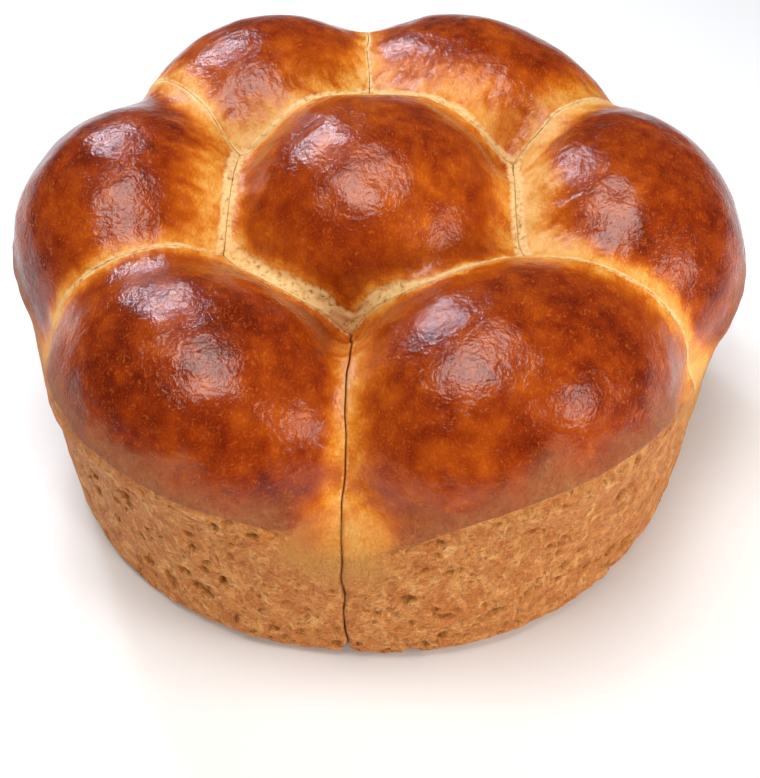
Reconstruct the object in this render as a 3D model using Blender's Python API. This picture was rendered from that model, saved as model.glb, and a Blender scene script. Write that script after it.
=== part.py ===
"""Buchteln: seven yeast buns that rose and baked against each other in a round tin.

One bun stands in the middle and six stand round it. Each bun is one closed solid, shaped by
what confined it: its own swelling dome on top, the tin's side and floor, and the upright
faces along which it grew together with its neighbours.

Metres, +Z up. The origin is the centre of the tin's floor, and -Y is the front.
"""

import math
from collections import namedtuple

import bpy
import numpy as np

# The tin, as it is printed in the baked dough.
FLOOR_RADIUS = 0.1005
SIDE_SLOPE = 0.03  # how far the tin widens for each metre of height
FOOT_ROUNDING = 0.0055  # between the tin's side and its floor
RIM_HEIGHT = 0.048  # above this the domes stand free and bulge over the rim
BULGE_RISE = 0.028  # height over which the bulge eases out from the rim

# The dough.
BODY_HEIGHT = 0.053  # up to here the dough fills the tin, between the domes too
BODY_SHOULDER = 0.008  # rounding round the top of that filled body
BODY_FILLET = 0.010  # hollow curve where the domes rise from it
WEB = 0.014  # fillet of dough in the valley between two domes
SHOULDER = 0.005  # rounding where a dome runs into the tin's side

# The faces between two buns.
SEAM_GAP = 0.0003
SEAM_ROUNDING = 0.0012  # crease beside a seam
FRONT_SEAM_ROUNDING = 0.003  # the seam at the front has opened further

Dome = namedtuple("Dome", "bearing reach waist out along rise")
Seam = namedtuple("Seam", "bearing reach rim_bearing rounding")

# The ring, anticlockwise from the front. Bearings are in degrees from +X. A dome's middle
# stands at (bearing, reach) from the tin's axis. It is widest at its waist height, where it
# measures out and along from its middle, away from the axis and round the ring, and its
# crown stands rise above that.
RING = {
    "bun_front_right": Dome(-57, 0.066, 0.0596, 0.0390, 0.0500, 0.0355),
    "bun_right": Dome(4, 0.073, 0.0625, 0.0366, 0.0476, 0.0378),
    "bun_back_right": Dome(62.5, 0.0686, 0.0617, 0.0383, 0.0514, 0.0403),
    "bun_back_left": Dome(120, 0.0687, 0.0617, 0.0385, 0.0467, 0.0414),
    "bun_left": Dome(173, 0.0698, 0.0628, 0.0382, 0.0445, 0.0379),
    "bun_front_left": Dome(229, 0.0710, 0.0565, 0.0370, 0.0468, 0.0355),
}
CENTRE = {"bun_centre": Dome(90, 0.007, 0.0707, 0.0424, 0.0424, 0.0349)}
DOMES = CENTRE | RING

# The seams between neighbours of the ring. Seam i lies before bun i. Each one leaves the
# centre bun at (bearing, reach) and meets the tin at rim_bearing.
SEAMS = [
    Seam(-100.7, 0.0365, -94.4, FRONT_SEAM_ROUNDING),
    Seam(-32.9, 0.0488, -26.5, SEAM_ROUNDING),
    Seam(28.7, 0.0479, 33.0, SEAM_ROUNDING),
    Seam(92.2, 0.0460, 91.0, SEAM_ROUNDING),
    Seam(154.2, 0.0444, 140.0, SEAM_ROUNDING),
    Seam(203.8, 0.0459, 201.5, SEAM_ROUNDING),
]

# The mesh of one bun: a sphere's segments and rings, and how the rings are shared out.
SEGMENTS = 48
CROWN_RINGS = 12
SIDE_RINGS = 4
FOOT_RINGS = 3
BASE_RINGS = 2
RINGS = CROWN_RINGS + SIDE_RINGS + FOOT_RINGS + BASE_RINGS
HEART_HEIGHT = 0.045  # each bun is measured outwards from a point at this height
FAR = 0.2  # further than any crust is from its bun's heart
HALVINGS = 26  # steps of the search for the crust, down to about a nanometre


def polar(bearing, reach):
    """The point of the plan at that bearing, in degrees, and distance from the axis."""
    angle = math.radians(bearing)
    return np.array([math.cos(angle), math.sin(angle)]) * reach


def smooth_max(a, b, rounding):
    """The greater of two distances, with the edge between them rounded off."""
    overlap = np.maximum(rounding - np.abs(a - b), 0.0)
    return np.maximum(a, b) + overlap * overlap / (4.0 * rounding)


def smooth_min(a, b, rounding):
    return -smooth_max(-a, -b, rounding)


def over_dome(points, dome):
    """Rough distance outside one dome: an ellipsoid down to its waist, an upright column below."""
    middle = polar(dome.bearing, dome.reach)
    turn = math.radians(dome.bearing)
    away = points[..., :2] - middle
    out = (away[..., 0] * math.cos(turn) + away[..., 1] * math.sin(turn)) / dome.out
    along = (away[..., 1] * math.cos(turn) - away[..., 0] * math.sin(turn)) / dome.along
    up = np.maximum(points[..., 2] - dome.waist, 0.0) / dome.rise
    size = (dome.out + dome.along + dome.rise) / 3.0
    return (np.sqrt(out * out + along * along + up * up) - 1.0) * size


def over_side(points):
    """Distance outside the tin's side, taken as going on above its rim."""
    return np.hypot(points[..., 0], points[..., 1]) - FLOOR_RADIUS - SIDE_SLOPE * points[..., 2]


def over_dough(points):
    """Rough distance outside all the dough: the domes, and the filled body that they rise from.

    The tin's side confines both, and above its rim it lets the domes bulge outwards.
    """
    domes = np.full(points.shape[:-1], FAR)
    for dome in DOMES.values():
        domes = smooth_min(domes, over_dome(points, dome), WEB)
    body = smooth_max(over_side(points), points[..., 2] - BODY_HEIGHT, BODY_SHOULDER)
    over_rim = np.maximum(points[..., 2] - RIM_HEIGHT, 0.0)
    confined = over_side(points) - over_rim**2 / BULGE_RISE
    return smooth_max(smooth_min(domes, body, BODY_FILLET), confined, SHOULDER)


def seam_lines(ring_index):
    """The lines in plan that bound a bun, anticlockwise, as (start, end, rounding).

    ring_index is the bun's place in the ring, or None for the centre bun.
    """
    corners = [polar(seam.bearing, seam.reach) for seam in SEAMS]
    rims = [polar(seam.rim_bearing, FLOOR_RADIUS) for seam in SEAMS]
    count = len(SEAMS)
    if ring_index is None:
        return [(corners[i], corners[(i + 1) % count], SEAM_ROUNDING) for i in range(count)]
    after = (ring_index + 1) % count
    return [
        (corners[ring_index], rims[ring_index], SEAMS[ring_index].rounding),
        (rims[after], corners[after], SEAMS[after].rounding),
        (corners[after], corners[ring_index], SEAM_ROUNDING),
    ]


def seam_faces(lines):
    """The upright planes through those lines, as (outward normal, offset, rounding)."""
    faces = []
    for start, end, rounding in lines:
        run = (end - start) / np.linalg.norm(end - start)
        normal = np.array([run[1], -run[0]])
        faces.append((normal, normal @ start - SEAM_GAP / 2.0, rounding))
    return faces


def over_bun(points, faces):
    """Rough distance outside one bun: the greatest of those to all that confines it."""
    distance = smooth_max(over_dough(points), -points[..., 2], FOOT_ROUNDING)
    for normal, offset, rounding in faces:
        distance = smooth_max(distance, points[..., :2] @ normal - offset, rounding)
    return distance


def reach_of(heart, directions, faces):
    """How far the crust is from the heart in each direction, found by halving."""
    near = np.zeros(directions.shape[:-1])
    far = np.full(directions.shape[:-1], FAR)
    for _ in range(HALVINGS):
        middle = (near + far) / 2.0
        outside = over_bun(heart + directions * middle[..., None], faces) > 0.0
        far = np.where(outside, middle, far)
        near = np.where(outside, near, middle)
    return near


def corner_bearings(heart, lines):
    """The bearings of a sphere's segments from the heart, shifted so that each corner has one."""
    corners = np.array([point for line in lines for point in line[:2]])
    turns = np.arctan2(corners[:, 1] - heart[1], corners[:, 0] - heart[0])
    turns = np.unique(np.round(turns, 6))
    turns = np.append(turns, turns[0] + 2.0 * math.pi)
    segments = np.round((turns - turns[0]) / (2.0 * math.pi) * SEGMENTS)
    return np.interp(np.arange(SEGMENTS), segments, turns)


def edge_angles(heart, bearings, faces):
    """For each bearing, the angles down from the zenith of the crown's edge, knee and foot.

    The edge is where the crown meets a seam's face or, outside, the straight part of the side.
    The knee and the foot are the two ends of the rounding above the floor.
    """
    level = np.stack([np.cos(bearings), np.sin(bearings), np.zeros_like(bearings)], axis=-1)
    boundary = reach_of(heart, level, faces)
    rim = heart + level * boundary[:, None]
    low = np.full(bearings.shape, RIM_HEIGHT)
    high = np.full(bearings.shape, FAR)
    for _ in range(HALVINGS):
        middle = (low + high) / 2.0
        rim[:, 2] = middle
        outside = over_dough(rim) > 0.0
        high = np.where(outside, middle, high)
        low = np.where(outside, low, middle)
    seams = [rim[:, :2] @ normal - offset for normal, offset, rounding in faces]
    low = np.where(np.max(seams, axis=0) > -SEAM_ROUNDING, low, BODY_HEIGHT)
    edge = np.arctan2(boundary, low - heart[2])
    knee = np.arctan2(boundary, FOOT_ROUNDING - heart[2])
    foot = np.arctan2(boundary - FOOT_ROUNDING, -heart[2])
    return edge, knee, foot


def ring_angle(ring, edge, knee, foot):
    """The angle down from the zenith of one of the sphere's rings."""
    stops = np.cumsum([0, CROWN_RINGS, SIDE_RINGS, FOOT_RINGS, BASE_RINGS])
    angles = [np.zeros_like(edge), edge, knee, foot, np.full_like(edge, math.pi)]
    angle = np.zeros_like(edge)
    for i in range(len(stops) - 1):
        share = np.clip((ring - stops[i]) / (stops[i + 1] - stops[i]), 0.0, 1.0)
        angle += (angles[i + 1] - angles[i]) * share
    return angle


def shape_bun(name, dome, ring_index, collection, material):
    """One bun, from a sphere whose points are each moved out to the crust."""
    bpy.ops.mesh.primitive_uv_sphere_add(segments=SEGMENTS, ring_count=RINGS, radius=1.0)
    bun = bpy.context.active_object
    bun.name = name
    mesh = bun.data
    mesh.name = name
    unit = np.empty(len(mesh.vertices) * 3)
    mesh.vertices.foreach_get("co", unit)
    unit = unit.reshape(-1, 3)

    lines = seam_lines(ring_index)
    faces = seam_faces(lines)
    heart = np.append(polar(dome.bearing, dome.reach), HEART_HEIGHT)
    segment = np.round(np.arctan2(unit[:, 1], unit[:, 0]) / (2.0 * math.pi) * SEGMENTS)
    bearings = corner_bearings(heart, lines)[segment.astype(int) % SEGMENTS]
    edge, knee, foot = edge_angles(heart, bearings, faces)
    ring = np.arccos(np.clip(unit[:, 2], -1.0, 1.0)) / math.pi * RINGS
    angle = ring_angle(np.round(ring), edge, knee, foot)
    directions = np.stack(
        [np.sin(angle) * np.cos(bearings), np.sin(angle) * np.sin(bearings), np.cos(angle)], axis=-1
    )
    crust = directions * reach_of(heart, directions, faces)[:, None]
    on_floor = np.abs(crust[:, 2] + heart[2]) < 1e-6
    crust[on_floor, 2] = -heart[2]
    mesh.vertices.foreach_set("co", crust.ravel())
    mesh.update()
    mesh.shade_smooth()
    mesh.set_sharp_from_angle(angle=math.radians(50))

    bun.location = heart
    mesh.materials.append(material)
    for owner in list(bun.users_collection):
        owner.objects.unlink(bun)
    collection.objects.link(bun)
    return bun


def baked_crust(name, colour, roughness):
    material = bpy.data.materials.new(name)
    material.use_nodes = True
    shader = material.node_tree.nodes["Principled BSDF"]
    shader.inputs["Base Color"].default_value = (*colour, 1.0)
    shader.inputs["Roughness"].default_value = roughness
    shader.inputs["Metallic"].default_value = 0.0
    return material


def main():
    for obj in list(bpy.data.objects):
        bpy.data.objects.remove(obj, do_unlink=True)
    buchteln = bpy.data.collections.new("buchteln")
    bpy.context.scene.collection.children.link(buchteln)
    crust = baked_crust("egg_washed_crust", (0.42, 0.13, 0.03), 0.3)
    for name, dome in CENTRE.items():
        shape_bun(name, dome, None, buchteln, crust)
    for index, (name, dome) in enumerate(RING.items()):
        shape_bun(name, dome, index, buchteln, crust)


main()
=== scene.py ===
"""The looks of buchteln: a round loaf of seven yeast buns, baked side by side in a tin.

Each bun of the frame is replaced by a fine skin. The skin follows the same dough as the solid:
domes that swell above the tin's rim, a side printed by the tin, and upright faces where two
buns grew together. Relief is then added along the surface. Every point keeps how far it
browned, how far it lies below the crust's line and how far inside a torn seam, and the bread's
material reads these.

Metres, +Z up, -Y is the front.
"""

import functools
import math
from collections import namedtuple

import bpy
import numpy as np
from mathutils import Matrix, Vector


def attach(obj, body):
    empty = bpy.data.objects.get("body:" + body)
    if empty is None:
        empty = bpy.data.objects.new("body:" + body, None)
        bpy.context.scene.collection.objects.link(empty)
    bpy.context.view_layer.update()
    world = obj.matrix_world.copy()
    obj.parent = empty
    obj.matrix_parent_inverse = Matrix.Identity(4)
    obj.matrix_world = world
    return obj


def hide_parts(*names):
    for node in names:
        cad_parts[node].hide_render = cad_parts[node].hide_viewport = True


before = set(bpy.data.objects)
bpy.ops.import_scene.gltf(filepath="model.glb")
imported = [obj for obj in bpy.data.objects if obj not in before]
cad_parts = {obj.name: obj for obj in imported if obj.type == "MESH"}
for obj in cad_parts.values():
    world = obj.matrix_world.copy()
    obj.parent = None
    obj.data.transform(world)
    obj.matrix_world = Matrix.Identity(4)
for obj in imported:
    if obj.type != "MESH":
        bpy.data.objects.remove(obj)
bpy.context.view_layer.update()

MM = 0.001

# The tin, as it is printed in the baked dough.
FLOOR_RADIUS = 0.1005
SIDE_SLOPE = 0.03
FOOT_ROUNDING = 0.0055
RIM_HEIGHT = 0.048
BULGE_RISE = 0.028

# The dough.
BODY_HEIGHT = 0.053
BODY_SHOULDER = 0.008
BODY_FILLET = 0.010
WEB = 0.012
SHOULDER = 0.005

# The seams between two buns.
SEAM_ROUNDING = 0.0003
FRONT_SEAM_ROUNDING = 0.0006
FOOT_SPREAD = 0.0045  # how much rounder a seam's edges get at the floor
FOOT_SPREAD_HEIGHT = 0.007

Dome = namedtuple("Dome", "bearing reach waist out along rise")
Seam = namedtuple("Seam", "bearing reach rim_bearing rounding crack dimple")
Line = namedtuple("Line", "top apex drop lip")
Face = namedtuple("Face", "start run length normal offset crest rounding crack pale torn upright")
Finish = namedtuple("Finish", "browning torn marks nearest ragged smooth_side golden unglazed")

# Each dome's middle stands at (bearing in degrees from +X, reach from the axis). At its waist
# it measures out and along from its middle, and its crown stands rise above that.
RING = {
    "bun_front_right": Dome(-57, 0.066, 0.0596, 0.0390, 0.0500, 0.0355),
    "bun_right": Dome(4, 0.073, 0.0625, 0.0366, 0.0476, 0.0378),
    "bun_back_right": Dome(62.5, 0.0686, 0.0617, 0.0383, 0.0514, 0.0403),
    "bun_back_left": Dome(120, 0.0687, 0.0617, 0.0385, 0.0467, 0.0414),
    "bun_left": Dome(173, 0.0698, 0.0628, 0.0382, 0.0445, 0.0379),
    "bun_front_left": Dome(229, 0.0710, 0.0565, 0.0370, 0.0468, 0.0355),
}
CENTRE = {"bun_centre": Dome(90, 0.007, 0.0707, 0.0424, 0.0424, 0.0349)}
DOMES = CENTRE | RING

# Seam i lies before the ring's bun i. It leaves the centre bun at (bearing, reach) and meets
# the tin at rim_bearing. crack sets half the width of the dark gap in it, and dimple is how much
# deeper the crust dips where it leaves the centre bun. Seam 0 is the open one at the front.
SEAMS = [
    Seam(-98.9, 0.0384, -94.4, FRONT_SEAM_ROUNDING, 0.00002, 0.0002),
    Seam(-32.9, 0.0488, -26.5, SEAM_ROUNDING, 0.00004, 0.0002),
    Seam(28.7, 0.0479, 33.0, SEAM_ROUNDING, 0.00004, 0.0030),
    Seam(92.2, 0.0460, 91.0, SEAM_ROUNDING, 0.00004, 0.0005),
    Seam(154.2, 0.0444, 140.0, SEAM_ROUNDING, 0.00003, 0.0024),
    Seam(203.8, 0.0459, 201.5, SEAM_ROUNDING, 0.00003, 0.0008),
]
DIMPLE_REACH = 0.014
CORNER_TEAR = 0.0055  # how far round the corner that seam 0 starts at the centre bun is torn
CORNER_PALE = 0.0120  # how far round it the crust of the two front buns is paler
# How far the centre bun's side towards each bun of the ring bulges out past a straight line.
BOWS = (0.0050, -0.0010, 0.0010, 0.0010, -0.0005, 0.0050)
BOW_REACH = 0.016

# The crust's lower line on the outside. It is highest, at top, at the share apex of the way
# from a bun's middle to its later seam, has dropped by drop a whole half-width from there, and
# stays above LOWEST. Just above it the crust stands out by lip.
CRUST_LINES = {
    "bun_front_right": Line(0.0678, 0.10, 0.0250, 0.0011),
    "bun_right": Line(0.0660, 0.0, 0.0170, 0.0008),
    "bun_back_right": Line(0.0660, 0.0, 0.0140, 0.0008),
    "bun_back_left": Line(0.0650, 0.0, 0.0140, 0.0008),
    "bun_left": Line(0.0660, 0.0, 0.0170, 0.0006),
    "bun_front_left": Line(0.0680, -0.45, 0.0100, 0.0006),
}
LOWEST = 0.0525

# How far from a seam's crest the crust stays pale. The centre bun has one width for each bun
# of the ring. A ring bun has one towards the centre, and one for the seam before and after it.
PALE = {
    "bun_centre": (0.0026, 0.0070, 0.0048, 0.0034, 0.0034, 0.0026),
    "bun_front_right": (0.0040, 0.0065, 0.0060),
    "bun_right": (0.0120, 0.0060, 0.0080),
    "bun_back_right": (0.0135, 0.0085, 0.0045),
    "bun_back_left": (0.0100, 0.0045, 0.0055),
    "bun_left": (0.0120, 0.0065, 0.0040),
    "bun_front_left": (0.0036, 0.0034, 0.0042),
}
# How brown the palest crust is, by a seam's edge.
PALEST = {
    "bun_centre": 0.32,
    "bun_front_right": 0.30,
    "bun_right": 0.08,
    "bun_back_right": 0.32,
    "bun_back_left": 0.18,
    "bun_left": 0.20,
    "bun_front_left": 0.30,
}
# How wide a strip of torn crumb shows beside the crest, in the same order.
TORN = {
    "bun_centre": (0.0040, 0.0016, 0.0008, 0.0008, 0.0014, 0.0056),
    "bun_front_right": (0.0002, 0.0002, 0.0004),
    "bun_right": (0.0024, 0.0006, 0.0010),
    "bun_back_right": (0.0018, 0.0010, 0.0006),
    "bun_back_left": (0.0018, 0.0006, 0.0008),
    "bun_left": (0.0026, 0.0008, 0.0006),
    "bun_front_left": (0.0002, 0.0004, 0.0002),
}
# How brown each bun's crust got: 0 is pale, 1 is mahogany.
TONE = {
    "bun_centre": 0.76,
    "bun_front_right": 0.80,
    "bun_right": 0.84,
    "bun_back_right": 0.79,
    "bun_back_left": 0.76,
    "bun_left": 0.90,
    "bun_front_left": 0.85,
}

# The grid of one skin: rows from the crown's top to the middle of the base, and columns round.
COLUMNS = 318
CROWN_ROWS = 126
SIDE_ROWS = 66
FOOT_ROWS = 12
BASE_ROWS = 10
ROWS = CROWN_ROWS + SIDE_ROWS + FOOT_ROWS + BASE_ROWS
OUTER_SHARE = 1.35  # columns stand this much closer along the tin's side than along a seam
HEART_HEIGHT = 0.045  # the point inside a bun from which its skin is measured
FAR = 0.2  # further than any bun reaches
HALVINGS = 19
CREST_STEPS = 40
NOT_TORN = -0.01  # well outside any torn strip
NO_SIDE = -0.03  # well above the crust's line, for the centre bun, which has no tin side
SHARP_ANGLE = 65.0  # a fold sharper than this, in degrees, isn't shaded smooth

# Relief, in metres. A list has layers of noise, each (grain, depth).
SWELL = [(0.027, 0.0005), (0.012, 0.00040), (0.006, 0.00028)]  # on the crust
SIDE_UNEVEN = [(0.016, 0.0005), (0.007, 0.00032), (0.0028, 0.00026)]  # on the tin's side
CRUMBS = [(0.0034, 0.00045), (0.0018, 0.00030)]  # in a torn seam
STRETCH_MARKS = 0.00020
RIBS = [(0.0019, 1.0), (0.0012, 0.7)]  # the stretch marks' layers, as shares of their depth
LIP_FADE = 0.007  # how far above its line the crust's lip reaches
TORN_DEPTH = 0.0003
STEP = 0.0004  # how far the smooth side by a crest's end stands out from the rest
WANDER = 0.0007  # how far a seam strays from its straight line
RIM_BLEND = 0.012  # how far from the tin the grid's rows turn from the crest to the crust's line
PIT_COUNT = 1500
FULLY_SHADED_PIT = 0.0007  # a pit of this depth gets the darkest painted shade
LINE_EDGE = 0.0004  # half the width in which the crust's relief gives way to the side's
SEAM_FADE = 0.0018  # how far from a seam's face all relief has come up to its full height
PIT_FADE = 0.0015  # the same for the pits
TEAR_FADE = (0.0006, 0.0030)  # and for the hollow of the torn strip: from, to
PARTING_REACH = 0.004  # how far into a bun its seams' wandering and cracks move it
GROOVE_REACH = 0.0006  # how far into the two front buns the open seam's painted shade and crumb reach

# Where a finish starts and where it is full, or the other way round, in metres.
LOW_DOWN = (0.056, 0.076)  # the heights between which the seams' pale crust gets narrower
BROWNER_FROM = (0.078, 0.060)  # the heights from which a ring bun's crust is browner
CRACK_WIDENS = (0.050, 0.020)  # the heights between which a crack gets wider downwards
GOLDEN_FADE = (0.0085, 0.0185)  # the golden zone ends this far from a seam's crest
STEP_AT = (0.0140, 0.0150)  # and its smooth side has its step there
LIP_FROM_SEAM = (0.010, 0.024)  # the crust's lip comes up this far from a seam's crest

# How uneven the browning and the edges between finishes are, as layers of noise.
BLOTCHES = [(0.013, 0.15), (0.0045, 0.11), (0.0024, 0.11)]  # how brown the crust is
PALE_EDGE = [(0.009, 0.22), (0.004, 0.12)]  # the pale crust's edge, in shares of its width
GOLDEN_EDGE = [(0.010, 0.0065), (0.0035, 0.0030)]  # the smooth golden zone's edge, in metres
DRY_EDGE = [(0.011, 0.0034), (0.0035, 0.0030)]  # the edge of the egg wash, in metres

# Colours by how brown the crust is, by the toast of the tin's side, and by the crumb's holes, whose
# darkest stop is painted shade.
CRUST_COLOURS = [
    (0.0, "#E2AE60"),
    (0.16, "#DA943C"),
    (0.32, "#CC751E"),
    (0.48, "#B6570E"),
    (0.66, "#9C4009"),
    (0.84, "#832B06"),
    (1.0, "#641A04"),
]
SIDE_COLOURS = [
    (0.36, "#9C4E1C"),
    (0.47, "#C06C2A"),
    (0.56, "#D9853C"),
    (0.66, "#E8A35A"),
    (0.80, "#F2BC80"),
]
CRUMB_AND_HOLE_SHADE_COLOURS = [(0.26, "#95672F"), (0.37, "#D9AA6A"), (0.5, "#E6BE80"), (0.8, "#ECCB92")]

SEED = 11


def polar(bearing, reach):
    """The point of the plan at that bearing, in degrees, and distance from the axis."""
    angle = np.radians(bearing)
    return np.stack([np.cos(angle), np.sin(angle)], axis=-1) * reach


def smooth_max(a, b, rounding):
    """The greater of two distances, plus a cubic that rounds off the edge between them.

    The cubic is a quarter of the rounding where they are equal, and none where they are one and
    a half times the rounding apart.
    """
    overlap = np.maximum(1.0 - np.abs(a - b) / (1.5 * rounding), 0.0)
    return np.maximum(a, b) + overlap**3 * (rounding / 4.0)


def smooth_min(a, b, rounding):
    """The lesser of two distances, less the same cubic."""
    return -smooth_max(-a, -b, rounding)


def ease(low, high, value):
    """0 below low, 1 above high, and an S-curve between them.

    Where high is the lesser of the two, it is 1 below high and 0 above low.
    """
    share = np.clip((value - low) / (high - low), 0.0, 1.0)
    return share * share * (3.0 - 2.0 * share)


def noise(points, grain, seed):
    """A smooth random field from -1 to 1: random numbers on a cubic lattice, blended by S-curves.

    grain is the lattice's spacing, in metres.
    """
    table = np.random.default_rng(SEED + seed).uniform(-1.0, 1.0, (32, 32, 32))
    at = points / grain + 16.0
    cell = np.floor(at).astype(int)
    share = at - cell
    share = share * share * (3.0 - 2.0 * share)
    total = np.zeros(points.shape[:-1])
    for corner in np.ndindex(2, 2, 2):
        near = np.where(np.array(corner) == 1, share, 1.0 - share)
        index = (cell + corner) % 32
        total += near.prod(axis=-1) * table[index[..., 0], index[..., 1], index[..., 2]]
    return total


def layered_noise(points, layers, seed):
    """Noise of several grains added up, each (grain, depth)."""
    return sum(
        noise(points, grain, seed + step) * depth for step, (grain, depth) in enumerate(layers)
    )


def over_dome(points, dome):
    """Rough distance outside one dome: an ellipsoid down to its waist, an upright column below."""
    middle = polar(dome.bearing, dome.reach)
    turn = math.radians(dome.bearing)
    away = points[..., :2] - middle
    out = (away[..., 0] * math.cos(turn) + away[..., 1] * math.sin(turn)) / dome.out
    along = (away[..., 1] * math.cos(turn) - away[..., 0] * math.sin(turn)) / dome.along
    up = np.maximum(points[..., 2] - dome.waist, 0.0) / dome.rise
    size = (dome.out + dome.along + dome.rise) / 3.0
    return (np.sqrt(out * out + along * along + up * up) - 1.0) * size


def over_side(points):
    """Distance outside the tin's side, taken as going on above its rim."""
    return np.hypot(points[..., 0], points[..., 1]) - FLOOR_RADIUS - SIDE_SLOPE * points[..., 2]


def over_dough(points):
    """Rough distance outside all the dough: the domes, and the filled body that they rise from.

    The tin's side confines both, and above its rim it lets the domes bulge outwards by the
    height's square. Where a seam leaves the centre bun, the domes dip as a bell curve.
    """
    domes = np.full(points.shape[:-1], FAR)
    for dome in DOMES.values():
        domes = smooth_min(domes, over_dome(points, dome), WEB)
    body = smooth_max(over_side(points), points[..., 2] - BODY_HEIGHT, BODY_SHOULDER)
    over_rim = np.maximum(points[..., 2] - RIM_HEIGHT, 0.0)
    confined = over_side(points) - over_rim**2 / BULGE_RISE
    for seam in SEAMS:
        away = np.linalg.norm(points[..., :2] - polar(seam.bearing, seam.reach), axis=-1)
        domes = domes + seam.dimple * np.exp(-((away / DIMPLE_REACH) ** 2))
    return smooth_max(smooth_min(domes, body, BODY_FILLET), confined, SHOULDER)


def unbowed(points):
    """The plan in which the centre bun's sides are straight: points less how far they bulge.

    A side's bulge is a squared sine along it, and fades with distance from it as a bell curve.
    """
    plan = points[..., :2].copy()
    corners = [polar(seam.bearing, seam.reach) for seam in SEAMS]
    for index, bow in enumerate(BOWS):
        start, end = corners[index], corners[(index + 1) % len(corners)]
        length = np.linalg.norm(end - start)
        run = (end - start) / length
        normal = np.array([run[1], -run[0]])
        share = np.clip((points[..., :2] - start) @ run / length, 0.0, 1.0)
        off = (points[..., :2] - start) @ normal
        bulge = bow * np.sin(math.pi * share) ** 2 * np.exp(-((off / BOW_REACH) ** 2))
        plan -= normal * bulge[..., None]
    return plan


def cell_of(name, ring_index):
    """A bun's cell in plan: its sides anticlockwise as (start, end), and the faces among them.

    ring_index is the bun's place in the ring, or None for the centre bun. A ring bun's second
    side is the tin's arc, given by its two bearings, and it has no face.
    """
    corners = [polar(seam.bearing, seam.reach) for seam in SEAMS]
    rims = [polar(seam.rim_bearing, FLOOR_RADIUS) for seam in SEAMS]
    count = len(SEAMS)
    if ring_index is None:
        sides = [(corners[i], corners[(i + 1) % count]) for i in range(count)]
        edges = [(side, SEAM_ROUNDING, 0.0, False) for side in sides]
    else:
        after = (ring_index + 1) % count
        start = SEAMS[ring_index].rim_bearing
        end = SEAMS[after].rim_bearing
        first = (corners[ring_index], rims[ring_index])
        last = (rims[after], corners[after])
        inner = (corners[after], corners[ring_index])
        sides = [first, (start, end + 360.0 if end < start else end), last, inner]
        edges = [(inner, SEAM_ROUNDING, 0.0, False)]
        edges.append((first, SEAMS[ring_index].rounding, SEAMS[ring_index].crack, True))
        edges.append((last, SEAMS[after].rounding, SEAMS[after].crack, True))
    faces = [
        face_on(side, rounding, crack, pale, torn, upright)
        for (side, rounding, crack, upright), pale, torn in zip(edges, PALE[name], TORN[name])
    ]
    return sides, faces


def surface_height(plan):
    """The height of the dough's upper surface over points of the plan, found by halving."""
    points = np.concatenate([plan, np.full((len(plan), 1), RIM_HEIGHT)], axis=1)
    high = np.full(len(plan), FAR)
    low = np.full(len(plan), RIM_HEIGHT)
    for _ in range(HALVINGS):
        points[:, 2] = (low + high) / 2.0
        outside = over_dough(points) > 0.0
        high = np.where(outside, points[:, 2], high)
        low = np.where(outside, low, points[:, 2])
    return low


def face_on(side, rounding, crack, pale, torn, upright):
    """The upright plane on one side of a cell, with the height of its crest at even steps."""
    start, end = side
    length = np.linalg.norm(end - start)
    run = (end - start) / length
    normal = np.array([run[1], -run[0]])
    steps = start + (end - start) * np.linspace(0.0, 1.0, CREST_STEPS)[:, None]
    crest = surface_height(2.0 * steps - unbowed(steps))
    return Face(
        start, run, length, normal, normal @ start, crest, rounding, crack, pale, torn, upright
    )


def from_crest(points, face):
    """The distance of points from a face's crest, the curved top edge of the seam."""
    plan = unbowed(points)
    along = np.clip((plan - face.start) @ face.run, 0.0, face.length)
    foot = face.start + face.run * along[..., None]
    crest = np.interp(along / face.length, np.linspace(0.0, 1.0, len(face.crest)), face.crest)
    level = np.linalg.norm(plan - foot, axis=-1)
    return np.hypot(level, points[..., 2] - crest)


def stretch_marks(points, face):
    """Ribs in the pale crust beside a seam: noise, fine along the seam and long away from it.

    They start past the torn strip and have faded out at twice the width of the pale crust.
    """
    away = from_crest(points, face)
    along = (unbowed(points) - face.start) @ face.run
    at = np.stack([along, away / 4.0, points[..., 2] / 4.0], axis=-1)
    past = away - face.torn
    fade = ease(-0.0005, 0.0010, past) * (1.0 - ease(0.6, 2.0, past / face.pale))
    return layered_noise(at, RIBS, 100) * fade


def over_bun(points, faces):
    """Rough distance outside one bun: the greatest of those to all that confines it.

    The edges beside an upright seam get rounder towards the floor.
    """
    distance = smooth_max(over_dough(points), -points[..., 2], FOOT_ROUNDING)
    spread = FOOT_SPREAD * np.exp(-np.maximum(points[..., 2], 0.0) / FOOT_SPREAD_HEIGHT)
    plan = unbowed(points)
    for face in faces:
        rounding = face.rounding + (spread if face.upright else 0.0)
        distance = smooth_max(distance, plan @ face.normal - face.offset, rounding)
    return distance


def reach_of(heart, directions, faces):
    """How far the crust is from the heart in each direction, found by halving."""
    near = np.zeros(directions.shape[:-1])
    far = np.full(directions.shape[:-1], FAR)
    for _ in range(HALVINGS):
        middle = (near + far) / 2.0
        outside = over_bun(heart + directions * middle[..., None], faces) > 0.0
        far = np.where(outside, middle, far)
        near = np.where(outside, near, middle)
    return near


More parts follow.
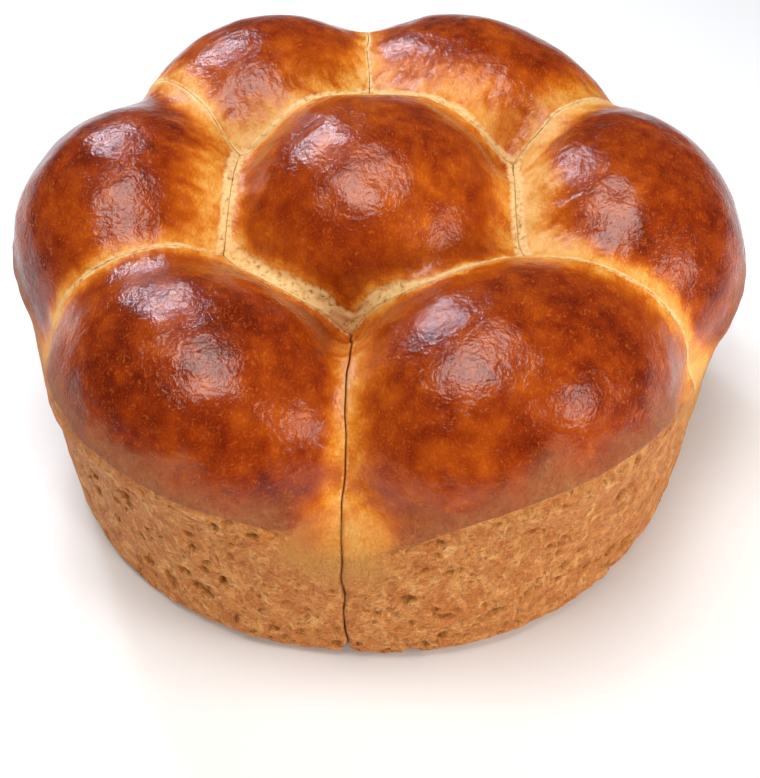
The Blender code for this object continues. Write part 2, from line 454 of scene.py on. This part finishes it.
def column_bearings(heart, sides):
    """The columns' bearings from the heart: even steps along each side of the cell."""
    lengths = []
    for start, end in sides:
        if np.ndim(start) == 0:
            lengths.append(math.radians(end - start) * FLOOR_RADIUS * OUTER_SHARE)
        else:
            lengths.append(np.linalg.norm(end - start))
    stops = np.round(np.cumsum([0.0] + lengths) / sum(lengths) * COLUMNS).astype(int)
    points = []
    for (start, end), first, last in zip(sides, stops[:-1], stops[1:]):
        share = np.arange(last - first) / (last - first)
        if np.ndim(start) == 0:
            points.append(polar(start + (end - start) * share, FLOOR_RADIUS))
        else:
            points.append(start + (end - start) * share[:, None])
    away = np.concatenate(points) - heart[:2]
    return np.unwrap(np.arctan2(away[:, 1], away[:, 0]))


def crust_line(points, name, ring_index):
    """The height of the crust's lower line at each point's bearing round the tin."""
    start = SEAMS[ring_index].rim_bearing
    end = SEAMS[(ring_index + 1) % len(SEAMS)].rim_bearing
    end += 360.0 if end < start else 0.0
    bearing = np.degrees(np.arctan2(points[..., 1], points[..., 0]))
    turned = (bearing - (start + end) / 2.0 + 180.0) % 360.0 - 180.0
    share = np.clip(turned / ((end - start) / 2.0), -1.0, 1.0)
    line = CRUST_LINES[name]
    return smooth_max(line.top - line.drop * np.abs(share - line.apex) ** 2.2, LOWEST, 0.004)


def row_angles(heart, bearings, faces, name, ring_index):
    """The angle down from the zenith of every row and column of the grid.

    The crown's rows end at the seam's edge or, outside, at the crust's line. The side's rows
    end at the knee, the foot's where the floor begins, and the last row is the base's middle.
    """
    level = np.stack([np.cos(bearings), np.sin(bearings), np.zeros_like(bearings)], axis=-1)
    boundary = reach_of(heart, level, faces)
    rim = heart + level * boundary[:, None]
    edge = surface_height(rim[:, :2])
    if ring_index is not None:
        line = crust_line(rim, name, ring_index)
        from_tin = FLOOR_RADIUS - np.hypot(rim[:, 0], rim[:, 1])
        edge = line + (edge - line) * ease(0.0, RIM_BLEND, from_tin)
    angles = [
        np.zeros_like(edge),
        np.arctan2(boundary, edge - heart[2]),
        np.arctan2(boundary, FOOT_ROUNDING - heart[2]),
        np.arctan2(boundary - FOOT_ROUNDING, -heart[2]),
        np.full_like(edge, math.pi),
    ]
    stops = np.cumsum([0, CROWN_ROWS, SIDE_ROWS, FOOT_ROWS, BASE_ROWS])
    rows = np.arange(ROWS + 1)
    first = np.clip(np.searchsorted(stops, rows, side="right") - 1, 0, len(stops) - 2)
    share = ((rows - stops[first]) / (stops[first + 1] - stops[first]))[:, None]
    angles = np.array(angles)
    return angles[first] + (angles[first + 1] - angles[first]) * share


def grid_normals(points):
    """Unit normals of a closed grid, from the differences between neighbours."""
    down = np.gradient(points, axis=0)
    round_ = np.roll(points, -1, axis=1) - np.roll(points, 1, axis=1)
    normal = np.cross(down, round_)
    length = np.linalg.norm(normal, axis=-1, keepdims=True)
    normal = normal / np.maximum(length, 1e-12)
    normal[0] = (0.0, 0.0, 1.0)
    normal[-1] = (0.0, 0.0, -1.0)
    return normal


def pits_on_side(points, below):
    """How deep the gas pits in the tin's side are: hollows of random size, tilt and depth.

    Each pit is a round hollow, squashed along its tilt, in the side unrolled to arc and height.
    """
    random = np.random.default_rng(SEED)
    arc = np.arctan2(points[..., 1], points[..., 0]) * FLOOR_RADIUS
    height = points[..., 2]
    depth = np.zeros(points.shape[:-1])
    for _ in range(PIT_COUNT):
        at = random.uniform(-math.pi, math.pi) * FLOOR_RADIUS
        up = 0.002 + 0.062 * random.random() ** 1.5
        size = random.uniform(0.0005, 0.0010) * (1.0 + 1.8 * random.random() ** 5)
        slim = random.uniform(0.4, 0.9)
        tilt = random.normal(0.5, 0.6)
        deep = random.uniform(0.5, 1.3) * size
        near = (np.abs(arc - at) < size * 2.0) & (np.abs(height - up) < size * 2.0)
        side = arc[near] - at
        rise = height[near] - up
        long = (side * math.cos(tilt) + rise * math.sin(tilt)) / size
        short = (rise * math.cos(tilt) - side * math.sin(tilt)) / (size * slim)
        hollow = 1.0 - ease(0.45, 1.20, np.hypot(long, short))
        depth[near] = np.maximum(depth[near], hollow * deep)
    return depth * ease(-0.001, 0.002, below)


def baking(points, faces, name, ring_index, below):
    """How each point browned and tore, and where the egg wash ends, as a Finish.

    Every seam makes the crust paler up to a soft and wandering edge, and the seams' shares are
    multiplied. So does the corner where the open seam starts, which is torn on the centre bun.
    """
    corner = polar(SEAMS[0].bearing, SEAMS[0].reach)
    corner = np.append(corner, surface_height(corner[None]))
    from_corner = np.linalg.norm(points - corner, axis=-1)
    if ring_index is None:
        torn = CORNER_TEAR - from_corner
        baked = ease(0.0, 0.005, from_corner - CORNER_TEAR + 0.001)
    else:
        torn = np.full(points.shape[:-1], NOT_TORN)
        baked = 0.35 + 0.65 * ease(0.0, CORNER_PALE, from_corner)
    marks = np.zeros(points.shape[:-1])
    nearest = np.full(points.shape[:-1], FAR)
    wander = layered_noise(points, PALE_EDGE, 40)
    low_down = 1.0 - ease(*LOW_DOWN, points[..., 2])
    for face in faces:
        away = from_crest(points, face)
        nearest = np.minimum(nearest, away)
        torn = np.maximum(torn, face.torn - away)
        pale = face.pale * (1.0 + (0.9 * low_down if face.upright else 0.0))
        past = away - face.torn
        baked *= ease(0.05, 1.6, past / pale + wander) * (0.8 + 0.2 * ease(0.0, 0.022, past))
        marks += stretch_marks(points, face)
    baked = PALEST[name] + (TONE[name] - PALEST[name]) * baked
    torn += noise(points, 0.0045, 50) * 0.0006

    # Below the crest's end at the tin the side is smooth and golden, up to a ragged step.
    ragged = nearest + layered_noise(points, GOLDEN_EDGE, 80)
    smooth_side = 1.0 - ease(*GOLDEN_FADE, ragged)
    golden = smooth_side * (0.85 - 0.6 * ease(0.004, 0.020, below))
    # The crust is browner low down, and paler again over the golden zone.
    browning = baked - 0.09 * marks + layered_noise(points, BLOTCHES, 30)
    browning += 0.07 * ease(*BROWNER_FROM, points[..., 2]) * ease(-0.022, -0.010, below)
    browning -= 0.2 * smooth_side * ease(-0.014, -0.002, below)
    # The last of the crust above its line got no egg wash, except close to a seam.
    band = below + layered_noise(points, DRY_EDGE, 110)
    unglazed = ease(-0.0125, 0.0005, band) * ease(0.2, 0.6, baked) * ease(0.006, 0.020, nearest)
    return Finish(browning, torn, marks, nearest, ragged, smooth_side, golden, unglazed)


def relief_of(points, finish, lip, below, beside):
    """How far each point moves out along the surface, and how deep its gas pit is.

    The layers of relief are added up, each where its finish is. Relief fades out beside a
    seam, so that neighbours still meet.
    """
    on_side = ease(-LINE_EDGE, LINE_EDGE, below)
    pits = pits_on_side(points, below) * (1.0 - finish.smooth_side)
    rough = np.maximum(on_side * (1.0 - 0.5 * finish.smooth_side), 0.6 * finish.unglazed)
    standing = lip * ease(*LIP_FROM_SEAM, finish.nearest)
    relief = layered_noise(points, SWELL, 1) * (1.0 - on_side)
    relief += layered_noise(points, SIDE_UNEVEN, 10) * rough
    relief += standing * (1.0 - ease(0.0, LIP_FADE, -below)) * (1.0 - on_side)
    relief += STEP * (1.0 - ease(*STEP_AT, finish.ragged)) * ease(0.002, 0.008, below)
    relief += STRETCH_MARKS * finish.marks * (1.0 - on_side)
    relief += layered_noise(points, CRUMBS, 90) * ease(-0.0005, 0.0010, finish.torn)
    relief -= TORN_DEPTH * ease(-0.0006, 0.0006, finish.torn) * ease(*TEAR_FADE, beside)
    relief = relief * ease(0.0, SEAM_FADE, beside) - pits * ease(0.0, PIT_FADE, beside)
    return relief, pits


def part_seams(points, faces, inside):
    """Moves the points beside a seam back by half its crack, and along with its wandering.

    Both neighbours wander alike, as noise of their shared places. The crack is wider low down.
    It gives back how deep in the open seam at the front a point is, 1 at the seam's plane.
    """
    groove = np.zeros(points.shape[:-1])
    for face, far_in in zip(faces, inside):
        near = 1.0 - ease(0.0, PARTING_REACH, far_in)
        if face.rounding == FRONT_SEAM_ROUNDING:
            groove = 1.0 - ease(0.0, GROOVE_REACH, far_in)
        side = 1.0 if face.normal[0] > 0.0 else -1.0
        stray = noise(points, 0.008, 70) * WANDER * side
        width = face.crack * np.maximum(0.4 + 2.6 * noise(points, 0.0026, 60), -0.3)
        width *= 1.0 + 1.5 * ease(*CRACK_WIDENS, points[..., 2])
        points[..., :2] += face.normal * ((stray * face.upright - width) * near)[..., None]
    points[..., 2] = np.maximum(points[..., 2], 0.0)
    return groove


def shape_skin(name, ring_index):
    """One bun's fine skin, as a grid of points with what its material reads.

    A point is the heart plus its direction times the reach, then moved along the surface's
    normal by the relief, and at last beside the seams by their cracks.
    """
    dome = DOMES[name]
    sides, faces = cell_of(name, ring_index)
    heart = np.append(polar(dome.bearing, dome.reach), HEART_HEIGHT)
    bearings = column_bearings(heart, sides)
    angles = row_angles(heart, bearings, faces, name, ring_index)
    directions = np.stack(
        [np.sin(angles) * np.cos(bearings), np.sin(angles) * np.sin(bearings), np.cos(angles)],
        axis=-1,
    )
    points = heart + directions * reach_of(heart, directions, faces)[..., None]

    plan = unbowed(points)
    inside = np.array([face.offset - plan @ face.normal for face in faces])
    beside = inside.min(axis=0)
    if ring_index is None:
        below = np.full(points.shape[:-1], NO_SIDE)
        lip = 0.0
    else:
        below = crust_line(points, name, ring_index) - points[..., 2]
        lip = CRUST_LINES[name].lip
    finish = baking(points, faces, name, ring_index, below)
    relief, pits = relief_of(points, finish, lip, below, beside)
    points += grid_normals(points) * relief[..., None]
    groove = part_seams(points, faces, inside)

    # Torn crumb shows on top alone, but the inside of a seam is crumb all the way down.
    torn = finish.torn - 0.01 * ease(-0.004, 0.0, below)
    torn = np.maximum(torn, 0.0003 - beside - 0.001 * groove)
    fields = {
        "browning": finish.browning,
        "past_line": np.clip(below / (0.0005 + 0.010 * finish.smooth_side), -4.0, 4.0),
        "torn_mm": torn / MM,
        "golden": finish.golden,
        "unglazed": finish.unglazed,
        "groove": groove,
        # How deep a gas pit is, for the painted shade in it.
        "pit": np.clip(pits / FULLY_SHADED_PIT, 0.0, 1.0),
    }
    return points, fields


def skin_mesh(name, points, fields):
    """A closed mesh from a grid whose first and last rows are each one point."""
    columns = points.shape[1]
    place = [points[0, 0][None], points[1:-1].reshape(-1, 3), points[-1, 0][None]]
    vertices = np.concatenate(place)
    rows = points.shape[0] - 2
    index = 1 + np.arange(rows * columns).reshape(rows, columns)
    onward = np.roll(index, -1, axis=1)
    quads = np.stack([index[:-1], index[1:], onward[1:], onward[:-1]], axis=-1).reshape(-1, 4)
    last = len(vertices) - 1
    top = np.stack([np.zeros(columns, int), index[0], onward[0]], axis=-1)
    bottom = np.stack([np.full(columns, last), onward[-1], index[-1]], axis=-1)
    mesh = bpy.data.meshes.new(name)
    mesh.from_pydata(vertices.tolist(), [], quads.tolist() + top.tolist() + bottom.tolist())
    for field, values in fields.items():
        flat = np.concatenate([values[0, :1], values[1:-1].ravel(), values[-1, :1]])
        attribute = mesh.attributes.new(field, "FLOAT", "POINT")
        attribute.data.foreach_set("value", flat.astype(np.float32))
    mesh.shade_smooth()
    mesh.set_sharp_from_angle(angle=math.radians(SHARP_ANGLE))
    return mesh


def colour(hex_value):
    """An sRGB hex value as linear red, green, blue and alpha."""
    channels = [int(hex_value[i : i + 2], 16) / 255.0 for i in (1, 3, 5)]
    linear = [c / 12.92 if c <= 0.04045 else ((c + 0.055) / 1.055) ** 2.4 for c in channels]
    return (*linear, 1.0)


def add(tree, kind, inputs=None, out=0, stops=None, **settings):
    """Adds a node with its settings, its sockets' values or links, and a ramp's stops.

    It gives back one of the node's outputs, by number or name, for the next node to link to.
    """
    node = tree.nodes.new(kind)
    for name, value in settings.items():
        setattr(node, name, value)
    for name, value in (inputs or {}).items():
        if isinstance(value, bpy.types.NodeSocket):
            tree.links.new(value, node.inputs[name])
        else:
            node.inputs[name].default_value = value
    if stops:
        elements = node.color_ramp.elements
        while len(elements) < len(stops):
            elements.new(0.5)
        for element, (position, hex_value) in zip(elements, stops):
            element.position = position
            element.color = colour(hex_value)
    return node.outputs[out]


def bread_material():
    """Yeast dough baked with egg wash.

    The crust is a thin glossy skin, mahogany where it browned and yellow by the seams, with
    fine wrinkles, fibres and light blisters. The tin's side is matt, tan and porous, and the
    torn crumb in the seams is cream and full of small holes.
    """
    material = bpy.data.materials.new("egg_washed_yeast_bread")
    material.use_nodes = True
    tree = material.node_tree
    shader = tree.nodes["Principled BSDF"]
    node = functools.partial(add, tree)
    place = node("ShaderNodeTexCoord", out="Object")
    fields = ("browning", "past_line", "torn_mm", "golden", "unglazed", "groove", "pit")
    field = {name: node("ShaderNodeAttribute", out="Fac", attribute_name=name) for name in fields}
    streaked = node(
        "ShaderNodeMapping",
        {"Vector": place, "Rotation": (0.3, 0.2, 0.6), "Scale": (1.0, 0.5, 1.0)},
    )
    upright = node("ShaderNodeMapping", {"Vector": place, "Scale": (1.0, 1.0, 0.6)})
    shift = node(
        "ShaderNodeTexNoise",
        {"Vector": place, "Scale": 1.0 / (2.0 * MM), "Detail": 2.0},
        out="Color",
    )
    bent = node(
        "ShaderNodeVectorMath", {0: shift, 1: (2.2 * MM,) * 3, 2: place}, operation="MULTIPLY_ADD"
    )
    cells = node("ShaderNodeTexVoronoi", {"Vector": bent, "Scale": 1.0 / (2.4 * MM)})

    # Each noise has its grain in millimetres, its detail, its distortion and what it lies on.
    grain = {}
    for name, (size_mm, detail, distortion, at) in {
        "fibres": (1.6, 6.0, 1.8, streaked),
        "speckle": (1.1, 3.0, 0.8, place),
        "wrinkles": (1.3, 2.0, 0.6, place),
        "folds": (2.9, 1.0, 0.7, place),
        "coarse": (6.0, 4.0, 0.8, place),
        "flakes": (3.6, 4.0, 0.7, upright),
        "pores": (1.1, 6.0, 0.5, place),
        "holes": (1.4, 3.0, 0.3, place),
    }.items():
        grain[name] = node(
            "ShaderNodeTexNoise",
            {
                "Vector": at,
                "Scale": 1.0 / (size_mm * MM),
                "Detail": detail,
                "Roughness": 0.6,
                "Distortion": distortion,
            },
        )
    off_middle = node("ShaderNodeMath", {0: grain["flakes"], 1: 0.5}, operation="SUBTRACT")
    ridge = node("ShaderNodeMath", {0: off_middle}, operation="ABSOLUTE")

    # Each share is a value between two limits, turned to a value between two others.
    share = {}
    for name, (value, low, high, to_low, to_high) in {
        "browner": (grain["fibres"], 0.3, 0.7, -0.13, 0.13),
        "blister": (grain["speckle"], 0.58, 0.72, 0.0, 0.35),
        "streak": (grain["fibres"], 0.56, 0.72, 0.0, 0.45),
        "brown": (field["browning"], 0.3, 0.7, 0.0, 1.0),
        "crease": (ridge, 0.0, 0.05, 1.0, 0.0),
        "bubble": (cells, 0.36, 0.14, 0.0, 1.0),
        "bubbly": (grain["coarse"], 0.44, 0.56, 0.0, 1.0),
        "bare": (field["golden"], 0.1, 0.6, 1.0, 0.0),
        "rough_edge": (grain["pores"], 0.3, 0.7, -0.5, 0.5),
        "rough_tear": (grain["holes"], 0.3, 0.7, -0.4, 0.4),
        "gloss": (grain["folds"], 0.3, 0.7, 0.19, 0.12),
        "dull": (field["browning"], 0.10, 0.6, 0.34, 0.0),
        "pore_height": (grain["pores"], 0.3, 0.65, 0.0, 0.75),
        "hole_height": (grain["holes"], 0.25, 0.45, 0.0, 0.24),
    }.items():
        share[name] = node(
            "ShaderNodeMapRange", {0: value, 1: low, 2: high, 3: to_low, 4: to_high}
        )

    # The crust's colour is how brown it got, under light blisters and streaks.
    browning = node("ShaderNodeMath", {0: field["browning"], 1: share["browner"]}, operation="ADD")
    crust = node("ShaderNodeValToRGB", {0: browning}, stops=CRUST_COLOURS)
    light = node("ShaderNodeMath", {0: share["blister"], 1: share["streak"]}, operation="MAXIMUM")
    light = node("ShaderNodeMath", {0: light, 1: share["brown"]}, operation="MULTIPLY")
    crust = node(
        "ShaderNodeMix", {0: light, 6: crust, 7: colour("#DA7028")}, out=2, data_type="RGBA"
    )

    # The side that the tin printed is tan, with a golden zone; painted shade darkens its creases,
    # gas pits and bubbles. The last of the crust, which got no egg wash, is a darker tan.
    toast = 0.0
    for pattern, weight in (("coarse", 0.4), ("flakes", 0.4), ("pores", 0.35)):
        toast = node(
            "ShaderNodeMath", {0: grain[pattern], 1: weight, 2: toast}, operation="MULTIPLY_ADD"
        )
    side = node("ShaderNodeValToRGB", {0: toast}, stops=SIDE_COLOURS)
    tanned = node(
        "ShaderNodeMix", {0: 0.62, 6: side, 7: colour("#8A452A")}, out=2, data_type="RGBA"
    )
    dry = node("ShaderNodeMath", {0: field["unglazed"], 1: 0.7}, operation="MULTIPLY")
    crust = node("ShaderNodeMix", {0: dry, 6: crust, 7: tanned}, out=2, data_type="RGBA")
    side = node(
        "ShaderNodeMix",
        {0: field["golden"], 6: side, 7: colour("#CC8C40")},
        out=2,
        data_type="RGBA",
    )
    crease = node("ShaderNodeMath", {0: share["crease"], 1: share["bare"]}, operation="MULTIPLY")
    bubble = node("ShaderNodeMath", {0: share["bubble"], 1: share["bubbly"]}, operation="MULTIPLY")
    bubble = node("ShaderNodeMath", {0: bubble, 1: share["bare"]}, operation="MULTIPLY")
    hollow = node("ShaderNodeMath", {0: field["pit"], 1: bubble}, operation="MAXIMUM")
    # Painted shade in the creases, gas pits and bubbles: they are mixed towards a deep brown.
    painted_shade = node("ShaderNodeMath", {0: crease, 1: 0.55}, operation="MULTIPLY")
    painted_shade = node("ShaderNodeMath", {0: painted_shade, 1: hollow}, operation="MAXIMUM")
    painted_shade = node("ShaderNodeMath", {0: painted_shade, 1: 0.5}, operation="MULTIPLY")
    side = node("ShaderNodeMix", {0: painted_shade, 6: side, 7: colour("#7A3E16")}, out=2, data_type="RGBA")

    # The torn crumb of a seam is cream; its small holes are darker, as painted shade.
    crumb = node("ShaderNodeValToRGB", {0: grain["holes"]}, stops=CRUMB_AND_HOLE_SHADE_COLOURS)
    edge = node("ShaderNodeMath", {0: share["rough_edge"], 1: share["bare"]}, operation="MULTIPLY")
    edge = node("ShaderNodeMath", {0: field["past_line"], 1: edge}, operation="ADD")
    on_side = node("ShaderNodeMapRange", {0: edge, 1: -0.5, 2: 0.5})
    tear = node("ShaderNodeMath", {0: field["torn_mm"], 1: share["rough_tear"]}, operation="ADD")
    is_torn = node("ShaderNodeMapRange", {0: tear, 1: -0.5, 2: 0.5})
    surface = node("ShaderNodeMix", {0: on_side, 6: crust, 7: side}, out=2, data_type="RGBA")
    surface = node("ShaderNodeMix", {0: is_torn, 6: surface, 7: crumb}, out=2, data_type="RGBA")
    # Deep in the open seam at the front the dough is darkened to brown: painted shade.
    deep = node("ShaderNodeMath", {0: field["groove"], 1: 0.7}, operation="MULTIPLY")
    surface = node(
        "ShaderNodeMix", {0: deep, 6: surface, 7: colour("#A0561E")}, out=2, data_type="RGBA"
    )
    tree.links.new(surface, shader.inputs["Base Color"])

    gloss = node("ShaderNodeMath", {0: share["gloss"], 1: share["dull"]}, operation="ADD")
    gloss = node(
        "ShaderNodeMath", {0: field["unglazed"], 1: 0.3, 2: gloss}, operation="MULTIPLY_ADD"
    )
    matt = node("ShaderNodeMath", {0: on_side, 1: is_torn}, operation="MAXIMUM")
    roughness = node("ShaderNodeMix", {0: matt, 2: gloss, 3: 0.62}, data_type="FLOAT")
    tree.links.new(roughness, shader.inputs["Roughness"])

    # Relief too fine for the mesh: each height is millimetres times a pattern, added up.
    crust_relief = [
        (grain["wrinkles"], 0.14),
        (grain["folds"], 0.21),
        (grain["speckle"], 0.04),
        (grain["fibres"], 0.05),
    ]
    side_relief = [(grain["coarse"], 0.4), (grain["flakes"], 1.2), (crease, -0.16), (bubble, -0.7)]
    crust_height = 0.0
    for pattern, tall in crust_relief:
        crust_height = node(
            "ShaderNodeMath", {0: pattern, 1: tall, 2: crust_height}, operation="MULTIPLY_ADD"
        )
    side_height = share["pore_height"]
    for pattern, tall in side_relief:
        side_height = node(
            "ShaderNodeMath", {0: pattern, 1: tall, 2: side_height}, operation="MULTIPLY_ADD"
        )
    uneven = node("ShaderNodeMath", {0: dry, 1: on_side}, operation="MAXIMUM")
    height = node("ShaderNodeMix", {0: uneven, 2: crust_height, 3: side_height}, data_type="FLOAT")
    height = node(
        "ShaderNodeMix", {0: is_torn, 2: height, 3: share["hole_height"]}, data_type="FLOAT"
    )
    bump = node("ShaderNodeBump", {"Height": height, "Distance": MM, "Strength": 1.0})
    tree.links.new(bump, shader.inputs["Normal"])

    shader.inputs["IOR"].default_value = 1.42
    shader.inputs["Metallic"].default_value = 0.0
    return material


def floor_material():
    """A matt painted board, white and without gloss."""
    material = bpy.data.materials.new("matt_white_board")
    material.use_nodes = True
    shader = material.node_tree.nodes["Principled BSDF"]
    shader.inputs["Base Color"].default_value = colour("#F6F9FC")
    shader.inputs["Roughness"].default_value = 0.9
    return material


def add_floor():
    """A plain pale floor, wide enough to fill the view."""
    bpy.ops.mesh.primitive_plane_add(size=6.0, location=(0.0, 0.0, -0.0002))
    floor = bpy.context.active_object
    floor.name = "floor"
    floor.data.materials.append(floor_material())


def aim(obj, place, target):
    """Puts an object at a place and turns its -Z towards the target, with its Y up."""
    obj.location = place
    obj.rotation_mode = "QUATERNION"
    obj.rotation_quaternion = (Vector(target) - Vector(place)).to_track_quat("-Z", "Y")


def add_lights():
    """A window behind on the left, a soft box overhead, a small one and low fills round it.

    Each is given by its direction from the loaf, its distance, its width and height, the power
    of one pane, its colour, and its panes across and up with the bars' width between them. The
    fills light the side, and they don't shine in the glossy crust.
    """
    middle = Vector((0.0, 0.0, 0.09))
    softboxes = {
        "window": ((-0.42, 0.72, 0.60), 0.50, (0.16, 0.20), 0.25, "#E6EFFF", (2, 3), 0.055),
        "soft_box": ((-0.13, -0.05, 0.99), 0.80, (0.48, 0.48), 6.0, "#FFFAF4", (1, 1), 0.0),
        "side_box": ((0.78, -0.44, 0.45), 0.50, (0.15, 0.18), 0.55, "#FFF6EE", (1, 1), 0.0),
        "right_front_fill": ((0.62, -0.76, 0.16), 1.0, (0.16, 0.16), 4.6, "#FFFAF4", (1, 1), 0.0),
        "front_fill": ((0.0, -1.0, 0.05), 1.2, (1.2, 0.30), 2.5, "#FFFAF4", (1, 1), 0.0),
        "right_fill": ((0.97, -0.15, 0.10), 1.2, (1.2, 0.30), 2.7, "#FFFAF4", (1, 1), 0.0),
        "left_fill": ((-0.95, -0.30, 0.10), 1.2, (1.2, 0.30), 4.4, "#FFFAF4", (1, 1), 0.0),
    }
    for name, (direction, distance, size, power, hex_value, panes, bar) in softboxes.items():
        place = middle + Vector(direction).normalized() * distance
        turn = (middle - place).to_track_quat("-Z", "Y")
        width = (size[0] - bar * (panes[0] - 1)) / panes[0]
        height = (size[1] - bar * (panes[1] - 1)) / panes[1]
        for column in range(panes[0]):
            for row in range(panes[1]):
                light = bpy.data.lights.new(f"{name}_{column}_{row}", "AREA")
                light.shape = "RECTANGLE"
                light.size = width
                light.size_y = height
                light.energy = power
                light.color = colour(hex_value)[:3]
                lamp = bpy.data.objects.new(light.name, light)
                bpy.context.scene.collection.objects.link(lamp)
                across = (column - (panes[0] - 1) / 2.0) * (width + bar)
                up = (row - (panes[1] - 1) / 2.0) * (height + bar)
                lamp.location = place + turn @ Vector((across, up, 0.0))
                lamp.rotation_mode = "QUATERNION"
                lamp.rotation_quaternion = turn
                lamp.visible_glossy = not name.endswith("fill")
    world = bpy.data.worlds.new("studio")
    world.use_nodes = True
    background = world.node_tree.nodes["Background"]
    background.inputs["Color"].default_value = (1.0, 1.0, 1.0, 1.0)
    background.inputs["Strength"].default_value = 0.07
    bpy.context.scene.world = world


def add_camera():
    """The photograph's view: 46.5 degrees above the horizon, straight at the front.

    Its height, distance and lens were fitted to the outlines of the loaf.
    """
    elevation = math.radians(46.5)
    distance = 0.4014
    target = Vector((0.0018, 0.0, 0.0054))
    back = Vector((0.0, -math.cos(elevation), math.sin(elevation)))
    data = bpy.data.cameras.new("camera")
    data.sensor_width = 36.0
    data.lens = 55.5
    data.clip_start = 0.01
    camera = bpy.data.objects.new("camera", data)
    bpy.context.scene.collection.objects.link(camera)
    aim(camera, target + back * distance, target)
    bpy.context.scene.camera = camera


def add_buns():
    """The loaf: one fine skin for each bun, which replaces the bun's own node."""
    bread = bread_material()
    places = {name: None for name in CENTRE} | {name: index for index, name in enumerate(RING)}
    for name, ring_index in places.items():
        points, fields = shape_skin(name, ring_index)
        skin = bpy.data.objects.new(name + "_skin", skin_mesh(name + "_skin", points, fields))
        bpy.context.scene.collection.objects.link(skin)
        skin.data.materials.append(bread)
        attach(skin, "root")
        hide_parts(name)


add_camera()
add_lights()
add_floor()
add_buns()
bpy.context.scene.view_settings.view_transform = "Standard"
